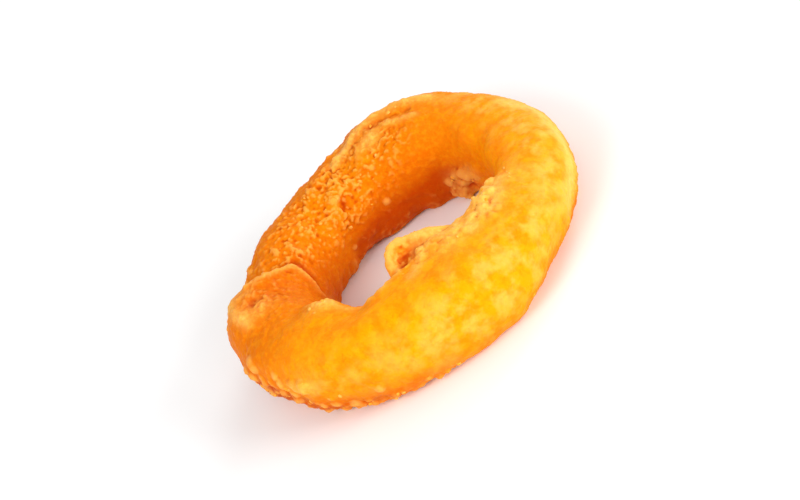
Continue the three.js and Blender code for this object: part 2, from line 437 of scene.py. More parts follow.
FOLD = (
    (168, 38), (167, 60), (166, 80), (165, 99), (162, 115), (159.5, 129), (161, 138), (165, 147),
    (169, 160), (174, 172),
)
FRONT_LIP = (
    (205, 126), (222, 122), (238, 118), (252, 112), (262, 126), (276, 126), (290, 128), (312, 122),
    (334, 120),
)
KNOB_EDGE = ((176, 42), (173.5, 53), (173, 66), (172.6, 78))
KNOB_RIDGE = ((168, 54), (175, 58), (181, 62), (187, 66))
FLAP_EDGE = (
    (-3.3, -19.2, 16.1), (-3.6, -17.7, 17.3), (-3.2, -16.4, 18.8), (-1.8, -15.4, 19.7),
    (-0.2, -15.0, 19.9), (1.3, -15.2, 19.3), (4.0, -15.9, 18.3),
)
FLAP_FOOT = ((266, 100), (271, 108), (277, 118))
FLAP_FACE = ((-2.2, -18.6, 16.2), (-1.4, -17.3, 17.2), (1.2, -17.5, 17.0))
LIP_STRIP = ((319, 108), (309, 102), (301, 103), (294, 116))
BACK_RIM = ((48, 66), (58, 66), (68, 68), (76, 78), (84, 88), (92, 92))
BACK_CREASE = ((54, 84), (60, 85), (66, 85))
BACK_RIDGE = ((50, 98), (56, 99), (62, 98))
HOLE_SHADE = ((44, 204), (56, 205), (80, 206), (108, 205))
RIGHT_RIM = ((16, 46), (6, 36), (-4, 27), (-14, 14), (-22, 2), (-32, -8))

RELIEF_MARKS: dict[Zone, tuple[Mark, ...]] = {
    Zone.RIDGED: (
        Seam(FOLD, 0.75, shift=0.9),
        Seam(KNOB_RIDGE, 0.7, 0.8),
        Seam(BACK_RIM, 0.8, 0.7),
        Seam(BACK_RIDGE, 0.6, 0.7),
        Edge(FLAP_EDGE, 0.5, 0.4),
    ),
    Zone.CREASED: (
        Seam(FOLD, 0.8, shift=-0.9),
        Seam(BACK_CREASE, 0.6, 0.8),
        Patch(180, 80, 1.0, 0.8),
        Patch(104, 143, 0.9, 0.8),
        Patch(70, 88, 1.2, 0.8, 0.7),
    ),
    Zone.LIP: (Seam(FRONT_LIP, 0.8),),
    Zone.SQUIGGLY: (
        Patch(100, 130, 9, 4.5),
        Patch(80, 128, 7, 4.0, 0.9),
        Patch(124, 124, 7, 5, 0.9),
        Patch(148, 124, 6, 5, 0.7),
        Patch(62, 108, 6, 3.5, 0.4),
        Patch(176, 92, 6, 5, 0.6),
        Patch(198, 104, 6, 4, 0.3),
        Patch(266, 130, 4, 3, 0.7),
        Patch(140, 20, 10, 4, 0.5),
        Patch(84, 34, 12, 4, 0.4),
        Patch(36, 356, 10, 4, 0.5),
        Patch(330, 336, 10, 3, 0.4),
    ),
    Zone.CRAGGY: (
        Patch(33, 203, 4, 3),
        Patch(320, 108, 5, 2.4),
        Patch(279, 126, 6, 2.2),
        Patch(214, 126, 2.5, 1.6),
        Seam(LIP_STRIP, 1.5, 0.55),
        Patch(206, 14, 4, 2.4, 0.7),
        Patch(198, 338, 7, 2.6),
        Patch(233, 312, 10, 2.4),
        Patch(150, 334, 14, 2.4, 0.6),
        Patch(84, 328, 16, 2.4, 0.5),
        Patch(20, 328, 12, 2.4, 0.6),
        Patch(60, 234, 22, 3.0, 0.5),
        Patch(130, 226, 22, 3.0, 0.5),
        Patch(200, 226, 18, 3.0, 0.5),
        Patch(290, 226, 22, 3.0, 0.5),
    ),
}

TONE_MARKS: dict[Tone, tuple[Mark, ...]] = {
    # Painted shade, partly real browning: creases, pits, the flap's cup, the hole and low sides.
    Tone.BROWNED: (
        Patch(176, 104, 3, 2.6, 0.4),
        Patch(104, 143, 0.9, 0.8, 0.9),
        Patch(70, 88, 1.3, 0.7, 0.6),
        Patch(180, 80, 1.0, 0.8, 0.7),
        Patch(82, 136, 1.4, 0.6, 0.5),
        Seam(HOLE_SHADE, 2.6),
        Patch(36, 188, 3, 1.2, 0.5),
        Patch(30, 208, 2.0, 1.0, 0.8),
        Patch(45, 193, 2.0, 1.6, 0.6),
        Patch(120, 218, 24, 3, 0.5),
        Patch(162, 190, 10, 6, 0.4),
        Seam(FOLD, 0.8, 0.8, shift=-0.9),
        Edge(FLAP_FACE, 1.0),
        Patch(280, 128, 2.0, 1.0, 0.6),
        Patch(314, 84, 1.6, 0.9, 0.4),
        Patch(199, 354, 4, 1.4, 0.9),
        Patch(194, 344, 8, 2.6, 0.8),
        Patch(230, 326, 12, 2.6, 0.8),
        Patch(150, 330, 14, 2.2, 0.6),
        Patch(84, 322, 18, 2.2, 0.6),
        Patch(14, 322, 14, 2.2, 0.6),
        Patch(320, 318, 14, 1.8, 0.5),
    ),
    # Painted shade, partly real toasting: the back, the left end and the walls of the hole.
    Tone.TOASTED: (
        Patch(120, 66, 18, 8, 0.8),
        Patch(76, 190, 18, 5),
        Patch(124, 30, 22, 6),
        Patch(180, 190, 14, 9),
        Patch(174, 100, 7, 6, 0.5),
        Patch(186, 12, 8, 9, 0.6),
        Patch(92, 4, 8, 4, 0.5),
        Patch(58, 340, 10, 5, 0.5),
        Patch(46, 116, 10, 6, 0.7),
        Patch(272, 200, 30, 7, 0.8),
    ),
    # Paler batter, partly a painted highlight: the right end and outer sides that face the lamps.
    Tone.CREAMY: (
        Patch(355, 60, 8, 4, 0.9),
        Patch(10, 48, 8, 5),
        Patch(345, 32, 9, 4, 0.6),
        Patch(316, 32, 9, 4, 0.4),
        Patch(294, 33, 5, 3, 0.5),
        Patch(276, 2, 12, 5, 0.7),
        Patch(284, 20, 9, 4, 0.5),
        Patch(228, 16, 5, 3, 0.5),
        Patch(110, 12, 7, 4, 0.5),
        Patch(70, 20, 6, 4, 0.5),
        Patch(40, 30, 7, 5, 0.6),
        Patch(22, 68, 3, 2.2, 0.8),
    ),
    # Pale crumbs and lumps, and painted highlights: pale lines on rims, ridges, fold, lip and
    # flap.
    Tone.PALE: (
        Patch(325, 107, 2.8, 1.5),
        Patch(314, 95, 2.0, 1.6),
        Patch(216, 124, 1.8, 1.4),
        Seam(LIP_STRIP, 1.5, 0.75),
        Edge(FLAP_EDGE, 0.5),
        Patch(297, 128, 4, 1.6, 0.7),
        Patch(287, 100, 2.4, 1.4, 0.5),
        Seam(FLAP_FOOT, 0.9, 0.7),
        Patch(299, 93, 0.8, 0.8, 0.7),
        Patch(184, 84, 1.6, 1.6, 0.5),
        Patch(70, 104, 1.6, 1.2, 0.7),
        Patch(76, 108, 1.6, 0.8, 0.5),
        Patch(216, 19, 1.8, 0.7, 0.8),
        # Painted light: the lumps in the shaded hole are made paler than their shade would show.
        Patch(27, 191, 1.6, 1.2, 0.7),
        Patch(36, 199, 2.0, 1.5, 0.6),
        Patch(33, 222, 2.2, 0.7, 0.4),
        Seam(RIGHT_RIM, 1.4),
        Seam(BACK_RIM, 0.9),
        Seam(BACK_RIDGE, 0.5, 0.6),
        Seam(KNOB_RIDGE, 0.7, 0.8),
        Seam(KNOB_EDGE, 0.7, 0.5),
        Seam(FOLD, 0.6, 0.55, shift=1.0),
        Seam(FRONT_LIP, 0.6, 0.5),
    ),
}


# ---- The skin's relief ----


class Pattern(Enum):
    """The kinds of relief, as Blender's texture types."""

    PLAIN = ""
    PUFFS = "CLOUDS"
    PITS = "VORONOI"
    SQUIGGLES = "DISTORTED_NOISE"


@dataclass(frozen=True)
class ReliefLayer:
    """One layer of relief: its pattern, its size and height in millimetres, and where it lies.

    The middle is the grey that stays where it is, the detail is how many finer patterns puffs
    have on them, the rises are the greys between which the texture goes from 0 to 1, and the
    distortion is how far squiggles are bent.
    """

    name: str
    pattern: Pattern
    size: float
    height: float
    zone: Zone = Zone.EVERYWHERE
    middle: float = 0.5
    detail: int = 1
    rises: tuple[float, float] | None = None
    distortion: float = 1.6

    def texture(self) -> Texture | None:
        """Makes the layer's texture.

        Returns:
            The texture, with a pattern as large as the layer says, or none for a plain layer.
        """
        if self.pattern is Pattern.PLAIN:
            return None
        texture = bpy.data.textures.new(self.name, self.pattern.value)
        texture.noise_scale = self.size * MM
        if self.pattern is Pattern.PUFFS:
            texture.noise_depth = self.detail
        if self.pattern is Pattern.SQUIGGLES:
            texture.distortion = self.distortion
        if self.rises:
            texture.use_color_ramp = True
            for element, position, grey in zip(texture.color_ramp.elements, self.rises, (0, 1)):
                element.position = position
                element.color = (grey, grey, grey, 1)
        return texture

    def apply(self, obj: Object) -> None:
        """Raises the relief on a mesh.

        Args:
            obj: The mesh object, with a vertex group for the layer's zone.
        """
        group = "" if self.zone is Zone.EVERYWHERE else self.zone.value
        apply_modifier(
            obj,
            "DISPLACE",
            texture=self.texture(),
            texture_coords="LOCAL",
            strength=self.height * MM,
            mid_level=self.middle,
            vertex_group=group,
        )


RELIEF = (
    ReliefLayer("coat", Pattern.PLAIN, 0, 0.2, middle=0.0),
    ReliefLayer("soft_swells", Pattern.PUFFS, 8.0, 0.5),
    ReliefLayer("puckers", Pattern.PUFFS, 3.2, 0.3, detail=3),
    ReliefLayer("ridges", Pattern.PLAIN, 0, 0.7, Zone.RIDGED, middle=0.0),
    ReliefLayer("creases", Pattern.PLAIN, 0, -0.7, Zone.CREASED, middle=0.0),
    ReliefLayer("lip", Pattern.PUFFS, 3.0, 1.0, Zone.LIP, middle=0.1),
    ReliefLayer(
        "squiggles", Pattern.SQUIGGLES, 1.7, 0.42, Zone.SQUIGGLY, middle=0.3, rises=(0.05, 0.5)
    ),
    ReliefLayer("pits", Pattern.PITS, 1.3, 0.22, Zone.SQUIGGLY, rises=(0.12, 0.5)),
    ReliefLayer("crags", Pattern.PUFFS, 1.6, 0.9, Zone.CRAGGY, middle=0.4, detail=4),
    ReliefLayer("blisters", Pattern.SQUIGGLES, 2.2, 0.12, middle=0.3, rises=(0.1, 0.6)),
    ReliefLayer("grain", Pattern.PUFFS, 0.9, 0.17, detail=3),
)


# ---- Crumbs ----


@dataclass(frozen=True)
class Cluster:
    """Crumbs that stuck together, spread over a patch: how many, and their usual radius.

    The angles are in degrees, and the reaches and the radius are in millimetres.
    """

    around: float
    over: float
    along: float
    across: float
    count: int
    radius: float


@dataclass(frozen=True)
class Crumb:
    """Where one crumb sits, and its radius in metres."""

    seat: Vector
    radius: float


@dataclass(frozen=True)
class CrumbScatter:
    """A draw of crumbs over the ring: their clusters, their shapes and the seed of the draw.

    The fineness is how often a crumb's faces are divided. Their radius varies by the spread to
    both sides. Flattest is the least thickness of a crumb and sunk is how deep it sits, both
    counted in its radius. Roughening is how far its corners stray, and rounding how much they
    are smoothed. Outside is a distance from the middle of the dough that is clear of the ring.
    """

    name: str
    clusters: tuple[Cluster, ...]
    seed: int
    fineness: int
    variants: int = 5
    spread: float = 0.4
    flattest: float = 0.5
    sunk: float = 0.25
    roughening: float = 0.45
    rounding: float = 0.3
    outside: float = 30 * MM

    def _stones(self) -> list[Object]:
        """Models a few rough little stones of unit radius.

        Returns:
            The stones, each its own object.
        """
        stones = []
        for k in range(self.variants):
            bpy.ops.mesh.primitive_ico_sphere_add(
                subdivisions=self.fineness, radius=1, calc_uvs=False
            )
            stone = bpy.context.object
            bpy.ops.object.mode_set(mode="EDIT")
            bpy.ops.mesh.select_all(action="SELECT")
            bpy.ops.transform.vertex_random(
                offset=self.roughening, seed=self.seed + k, uniform=self.rounding
            )
            bpy.ops.mesh.vertices_smooth(factor=self.rounding, repeat=1)
            bpy.ops.object.mode_set(mode="OBJECT")
            stones.append(stone)
        return stones

    def build(self, line: DoughLine, target: Object) -> tuple[Object, list[Crumb]]:
        """Scatters the crumbs over a mesh.

        Args:
            line: The line through the middle of the dough.
            target: The mesh that they stick to.

        Returns:
            One object that holds them all, and where each of them sits.
        """
        draw = np.random.default_rng(self.seed)
        stones = self._stones()
        placed: list[Crumb] = []
        pieces: list[Object] = []
        for cluster in self.clusters:
            for _ in range(cluster.count):
                across = draw.normal(0, cluster.across * MM) / line.tube_radius
                along = draw.normal(0, cluster.along * MM) / line.radius.mean()
                radius = cluster.radius * MM * (1 + self.spread * draw.uniform(-1, 1))
                middle, out = line.seat(
                    math.radians(cluster.around) + along, math.radians(cluster.over) + across
                )
                hit, place, _, _ = target.ray_cast(middle + out * self.outside, -out)
                turn = Quaternion(draw.normal(size=4)).normalized()
                flat = draw.uniform(self.flattest, 1.0)
                stone = stones[int(draw.integers(self.variants))]
                if not hit or place.z < radius:
                    continue
                seat = place - out * (self.sunk * radius)
                placed.append(Crumb(seat, radius))
                piece = copy_of(stone, self.name)
                shape = Vector((radius, radius * flat, radius))
                piece.data.transform(Matrix.LocRotScale(seat, turn, shape))
                pieces.append(piece)
        for stone in stones:
            bpy.data.objects.remove(stone)
        return join(pieces), placed


FUSED_CRUMBS = CrumbScatter(
    "fused_crumbs",
    (
        Cluster(27, 190, 1.2, 0.8, 3, 1.1),
        Cluster(36, 199, 1.6, 1.0, 5, 1.1),
        Cluster(42, 214, 0.8, 0.8, 2, 1.2),
        Cluster(32, 221, 1.8, 0.5, 4, 0.8),
        Cluster(320, 107, 4.0, 1.8, 14, 0.85),
        Cluster(279, 126, 4.0, 1.5, 8, 0.65),
        Cluster(214, 126, 1.8, 1.0, 5, 0.65),
        Cluster(66, 74, 6.0, 1.5, 6, 0.5),
        Cluster(99, 130, 9.0, 4.0, 16, 0.5),
        Cluster(196, 35, 0.5, 0.5, 2, 0.95),
        Cluster(197, 6, 0.9, 0.9, 4, 0.95),
        Cluster(207, 21, 0.6, 0.6, 2, 0.9),
        Cluster(208, 6, 1.4, 0.5, 4, 0.85),
        Cluster(216, 20, 1.4, 0.4, 6, 0.9),
        Cluster(192, 346, 1.2, 2.0, 6, 0.9),
        Cluster(212, 347, 4.0, 0.9, 7, 0.8),
        Cluster(230, 334, 1.4, 0.6, 3, 0.9),
        Cluster(236, 314, 8.0, 1.2, 14, 0.8),
        Cluster(160, 46, 3.0, 3.2, 6, 0.6),
        Cluster(118, 205, 9.0, 3.0, 5, 0.6),
        Cluster(152, 330, 3.0, 0.9, 8, 0.6),
        Cluster(128, 326, 1.6, 0.9, 5, 0.65),
        Cluster(84, 328, 4.0, 1.0, 9, 0.55),
        Cluster(48, 324, 1.6, 0.8, 5, 0.7),
        Cluster(20, 328, 3.0, 1.0, 8, 0.6),
        Cluster(92, 38, 3.0, 1.6, 6, 0.4),
        Cluster(309, 103, 2.6, 1.4, 8, 0.6),
    ),
    seed=21,
    fineness=3,
)

FINE_CRUMBS = CrumbScatter(
    "fine_crumbs",
    (
        Cluster(34, 202, 2.4, 2.4, 4, 0.5),
        Cluster(320, 107, 4.6, 2.0, 10, 0.48),
        Cluster(279, 126, 4.6, 1.8, 8, 0.45),
        Cluster(216, 124, 2.6, 1.2, 5, 0.45),
        Cluster(68, 74, 6.0, 1.8, 7, 0.42),
        Cluster(99, 130, 9.0, 4.4, 14, 0.42),
        Cluster(209, 14, 4.4, 1.6, 6, 0.5),
        Cluster(193, 350, 1.6, 3.2, 5, 0.5),
        Cluster(205, 338, 5.0, 1.6, 6, 0.5),
        Cluster(233, 313, 8.0, 1.6, 14, 0.5),
        Cluster(160, 46, 4.0, 4.0, 4, 0.4),
        Cluster(150, 332, 6.0, 1.6, 8, 0.42),
        Cluster(84, 330, 8.0, 1.6, 8, 0.4),
        Cluster(22, 330, 6.0, 1.6, 8, 0.42),
    ),
    seed=34,
    fineness=2,
    sunk=0.5,
)


# ---- Shader nodes ----


class NodeMaker:
    """Adds nodes to a tree and wires them."""

    noise_detail = 3.0
    noise_roughness = 0.6

    def __init__(self, tree: NodeTree) -> None:
        """Keeps the tree that the nodes go into."""
        self.tree = tree

    def wire(self, node: Node, inputs: dict[str | int, object]) -> None:
        """Links or sets a node's inputs.

        Args:
            node: The node.
            inputs: What each input gets: a socket to link, or a value.
        """
        for name, value in inputs.items():
            if isinstance(value, NodeSocket):
                self.tree.links.new(value, node.inputs[name])
            else:
                node.inputs[name].default_value = value

    def add(
        self, kind: str, inputs: dict[str | int, object] | None = None, **settings: object
    ) -> Node:
        """Adds a node.

        Args:
            kind: Blender's name for the node type.
            inputs: What each input gets: a socket to link, or a value.
            settings: The node's own properties.

        Returns:
            The node.
        """
        node = self.tree.nodes.new(kind)
        for name, value in settings.items():
            setattr(node, name, value)
        self.wire(node, inputs or {})
        return node

    def noise(self, place: NodeSocket, scale: NodeSocket) -> NodeSocket:
        """Makes clouds with finer clouds on them.

        Args:
            place: The socket of the coordinates.
            scale: The socket of how fine they are.

        Returns:
            The socket of the noise.
        """
        node = self.add("ShaderNodeTexNoise", {
            "Vector": place,
            "Scale": scale,
            "Detail": self.noise_detail,
            "Roughness": self.noise_roughness,
        })
        return node.outputs["Fac"]

    def mix(self, factor: object, first: object, second: object) -> NodeSocket:
        """Mixes two colours.

        The node has sockets of several kinds under one name, so its colours go by number.

        Args:
            factor: How much of the second, a socket or a number.
            first: A socket or a colour with alpha.
            second: A socket or a colour with alpha.

        Returns:
            The mixed colour's socket.
        """
        node = self.add("ShaderNodeMix", {0: factor, 6: first, 7: second}, data_type="RGBA")
        return node.outputs[2]

    def tint(self, skin: NodeSocket, colour: Colour, mask: object, share: float) -> NodeSocket:
        """Lays a colour over the skin where a mask shows.

        Args:
            skin: The colour so far.
            colour: The colour that covers it.
            mask: Where it lies, a socket.
            share: How much of it shows where the mask is full.

        Returns:
            The new colour's socket.
        """
        return self.mix(self.maths("MULTIPLY", mask, share), skin, (*colour, 1.0))

    def maths(self, operation: str, first: object, second: object) -> NodeSocket:
        """Does one sum on numbers.

        Args:
            operation: Blender's name for the sum.
            first: A socket or a number.
            second: A socket or a number.

        Returns:
            The socket of the result, which is kept between 0 and 1.
        """
        inputs = {0: first, 1: second}
        node = self.add("ShaderNodeMath", inputs, operation=operation, use_clamp=True)
        return node.outputs[0]

    def ramp(self, value: object, low: float, high: float) -> NodeSocket:
        """Rises smoothly from 0 to 1 as a value goes from low to high.

        Args:
            value: A socket.
            low: Where the rise starts.
            high: Where it ends.

        Returns:
            The socket of the result.
        """
        inputs = {"Value": value, "From Min": low, "From Max": high}
        node = self.add("ShaderNodeMapRange", inputs, interpolation_type="SMOOTHSTEP")
        return node.outputs["Result"]

    def tone(self, tone: Tone) -> NodeSocket:
        """Reads one of the tones that the mesh stores, and returns its socket."""
        return self.add("ShaderNodeAttribute", attribute_name=tone.value).outputs["Fac"]

    def bump(self, grain: NodeTree, strength: float, depth: float) -> NodeSocket:
        """Turns the fine relief into a bump.

        Args:
            grain: The group of fine relief.
            strength: How strong the bump is.
            depth: How deep it is, in metres.

        Returns:
            The socket of the bumped normal.
        """
        height = self.add("ShaderNodeGroup", node_tree=grain).outputs["Height"]
        inputs = {"Strength": strength, "Distance": depth, "Height": height}
        return self.add("ShaderNodeBump", inputs).outputs["Normal"]


def new_group(
    name: str, inputs: dict[str, float], outputs: tuple[str, ...]
) -> tuple[NodeTree, NodeMaker]:
    """Starts a shader node group.

    Args:
        name: The group's name.
        inputs: Its number inputs and their usual values.
        outputs: Its number outputs.

    Returns:
        The group and a maker of nodes in it.
    """
    group = bpy.data.node_groups.new(name, "ShaderNodeTree")
    for key, value in inputs.items():
        socket = group.interface.new_socket(key, in_out="INPUT", socket_type="NodeSocketFloat")
        socket.default_value = value
    for key in outputs:
        group.interface.new_socket(key, in_out="OUTPUT", socket_type="NodeSocketFloat")
    return group, NodeMaker(group)


def mottle_group() -> NodeTree:
    """Builds the uneven colour of fried batter: soft clouds, blotches and small flecks.

    Returns:
        The group, which puts out the three masks, from the broadest to the finest.
    """
    group, make = new_group(
        "fried_mottle",
        {"Cloud Scale": 260.0, "Blotch Scale": 330.0, "Fleck Scale": 1000.0},
        ("Clouds", "Blotches", "Flecks"),
    )
    given = make.add("NodeGroupInput")
    place = make.add("ShaderNodeTexCoord").outputs["Object"]
    rises = ((0.38, 0.68), (0.38, 0.62), (0.42, 0.7))
    masks = {
        k: make.ramp(make.noise(place, given.outputs[k]), *rise) for k, rise in enumerate(rises)
    }
    make.add("NodeGroupOutput", masks)
    return group


def grain_group() -> NodeTree:
    """Builds the fine relief of fried batter: grain, and the pinholes left by bubbles.

    Returns:
        The group, which puts out a height.
    """
    group, make = new_group(
        "fried_grain",
        {"Grain Scale": 1500.0, "Pore Scale": 900.0, "Pore Depth": 0.6},
        ("Height",),
    )
    given = make.add("NodeGroupInput")
    place = make.add("ShaderNodeTexCoord").outputs["Object"]
    grain = make.noise(place, given.outputs["Grain Scale"])
    pores = make.add(
        "ShaderNodeTexVoronoi", {"Vector": place, "Scale": given.outputs["Pore Scale"]}
    )
    pore_wall = (0.1, 0.3)
    skin = make.ramp(pores.outputs["Distance"], *pore_wall)
    pits = make.maths("SUBTRACT", 1.0, skin)
    depth = make.maths("MULTIPLY", pits, given.outputs["Pore Depth"])
    make.add("NodeGroupOutput", {"Height": make.maths("SUBTRACT", grain, depth)})
    return group


def new_material(name: str) -> tuple[Material, NodeMaker, Node]:
    """Starts a material.

    Args:
        name: The material's name.

    Returns:
        The material, a maker of nodes in it, and its Principled shader.
    """
    material = bpy.data.materials.new(name)
    material.use_nodes = True
    make = NodeMaker(material.node_tree)
    return material, make, material.node_tree.nodes["Principled BSDF"]


# ---- Finishes ----


@dataclass(frozen=True)
class BatterFinish:
    """Fried batter: golden skin, mottled, with painted shade in its creases, hollows and hole,
    and a painted highlight, partly paler crust, on its crests and rims.

    Each share is how much of a colour shows where its tone is full. Pale stretches, which are
    pale crumbs together with painted highlights on rims and edges, show in flecks: pale_least of
    their colour shows everywhere, and pale_flecks more in the flecks. The glow is the light that
    comes back out of the batter.
    """

    golden: Colour = (0.95, 0.335, 0.001)
    amber: Colour = (0.93, 0.25, 0.001)
    # Painted shade, partly toasted batter: laid on the sides turned from the light.
    toasted: Colour = (0.74, 0.165, 0.001)
    straw: Colour = (0.97, 0.42, 0.008)
    # Paler batter colour, partly a painted highlight on the lit side.
    cream_and_highlight: Colour = (0.97, 0.48, 0.08)
    # Painted shade, partly browned batter: creases, the hole and the hollows of the relief.
    browned: Colour = (0.47, 0.03, 0.001)
    # Pale crumb colour, also laid as painted highlights on crests, rims and edges.
    crumb: Colour = (0.97, 0.53, 0.11)
    toast_and_shade_share: float = 1.0
    cream_and_highlight_share: float = 0.7
    straw_share: float = 0.25
    shade_and_browning_share: float = 0.75
    proud_crust_and_highlight_share: float = 0.42
    pale_and_highlight_share: float = 0.85
    pale_least: float = 0.6
    pale_flecks: float = 0.5
    crumb_share: float = 0.5
    hollow_shade_share: float = 0.7
    smoothest: float = 0.44
    roughest: float = 0.6
    bump: float = 0.5
    bump_depth: float = 0.2 * MM
    specular: float = 0.06
    specular_tint: Colour = (1.0, 0.6, 0.2)
    glow: float = 0.2
    glow_radius: Colour = (1.0, 0.35, 0.05)
    glow_depth: float = 1.8 * MM

    def material(self, mottle: NodeTree, grain: NodeTree) -> Material:
        """Builds the material.

        Args:
            mottle: The group of uneven colour.
            grain: The group of fine relief.

        Returns:
            The material.
        """
        material, make, shader = new_material("fried_batter")
        patches = make.add("ShaderNodeGroup", node_tree=mottle)
        clouds, blotches, flecks = patches.outputs
        # Paler batter, partly a painted highlight, broken up by clouds.
        cream_and_highlight = make.maths("MULTIPLY", make.tone(Tone.CREAMY), clouds)
        # Pale stretches: pale crumbs together with painted highlights on rims and edges.
        flecked = make.maths("ADD", make.maths("MULTIPLY", flecks, self.pale_flecks), self.pale_least)
        crumbs = make.maths("MULTIPLY", make.tone(Tone.CRUMBS), self.crumb_share)
        pale = make.maths("MAXIMUM", make.maths("MULTIPLY", make.tone(Tone.PALE), flecked), crumbs)
        skin = make.mix(blotches, (*self.golden, 1.0), (*self.amber, 1.0))
        # Most layers here paint shade or highlights: darker colour where shade falls, partly real
        # browning, and paler colour on lit crests, rims and the right end, partly real pale crust.
        for colour, mask, share in (
            (self.toasted, make.tone(Tone.TOASTED), self.toast_and_shade_share),
            (self.cream_and_highlight, cream_and_highlight, self.cream_and_highlight_share),
            (self.straw, flecks, self.straw_share),
            (self.browned, make.tone(Tone.BROWNED), self.shade_and_browning_share),
            (self.crumb, make.tone(Tone.PROUD), self.proud_crust_and_highlight_share),
            (self.crumb, pale, self.pale_and_highlight_share),
            (self.browned, make.tone(Tone.HOLLOW), self.hollow_shade_share),
        ):
            skin = make.tint(skin, colour, mask, share)
        rough = {"Value": blotches, "To Min": self.smoothest, "To Max": self.roughest}
        make.wire(shader, {
            "Base Color": skin,
            "Normal": make.bump(grain, self.bump, self.bump_depth),
            "Roughness": make.add("ShaderNodeMapRange", rough).outputs["Result"],
            "Specular IOR Level": self.specular,
            "Specular Tint": (*self.specular_tint, 1.0),
            "Subsurface Weight": self.glow,
            "Subsurface Radius": self.glow_radius,
            "Subsurface Scale": self.glow_depth,
        })
        return material


@dataclass(frozen=True)
class CrumbFinish:
    """Crumbs of batter that fried crisp: pale and matt, some of them browner."""

    pale: Colour = (0.97, 0.46, 0.09)
    golden: Colour = (0.93, 0.34, 0.02)
    blotch_scale: float = 500.0
    roughness: float = 0.6
    bump: float = 0.4
    bump_depth: float = 0.08 * MM
    specular: float = 0.1
    glow: float = 0.3
    glow_radius: Colour = (1.0, 0.4, 0.1)
    glow_depth: float = 1.0 * MM

    def material(self, mottle: NodeTree, grain: NodeTree) -> Material:
        """Builds the material.

        Args:
            mottle: The group of uneven colour.
            grain: The group of fine relief.

        Returns:
            The material.
        """
        material, make, shader = new_material("crisp_crumbs")
        scale = {"Blotch Scale": self.blotch_scale}
        patches = make.add("ShaderNodeGroup", scale, node_tree=mottle)
        skin = make.mix(patches.outputs["Blotches"], (*self.pale, 1.0), (*self.golden, 1.0))
        make.wire(shader, {
            "Base Color": skin,
            "Normal": make.bump(grain, self.bump, self.bump_depth),
            "Roughness": self.roughness,
            "Specular IOR Level": self.specular,
            "Subsurface Weight": self.glow,
            "Subsurface Radius": self.glow_radius,
            "Subsurface Scale": self.glow_depth,
        })
        return material


@dataclass(frozen=True)
class FloorFinish:
    """A plain, pale, matt studio floor, with clouds that hardly show."""

    pale: Colour = (0.93, 0.93, 0.93)
    paler: Colour = (0.95, 0.95, 0.95)
    cloud_scale: float = 8.0
    roughness: float = 0.8
    specular: float = 0.1

    def material(self) -> Material:
        """Builds the material.

        Returns:
            The material.
        """
        material, make, shader = new_material("studio_floor")
        place = make.add("ShaderNodeTexCoord").outputs["Object"]
        cloud = make.add("ShaderNodeTexNoise", {"Vector": place, "Scale": self.cloud_scale})
        make.wire(shader, {
            "Base Color": make.mix(cloud.outputs["Fac"], (*self.pale, 1.0), (*self.paler, 1.0)),
            "Roughness": self.roughness,
            "Specular IOR Level": self.specular,
        })
        return material


# ---- The ring ----


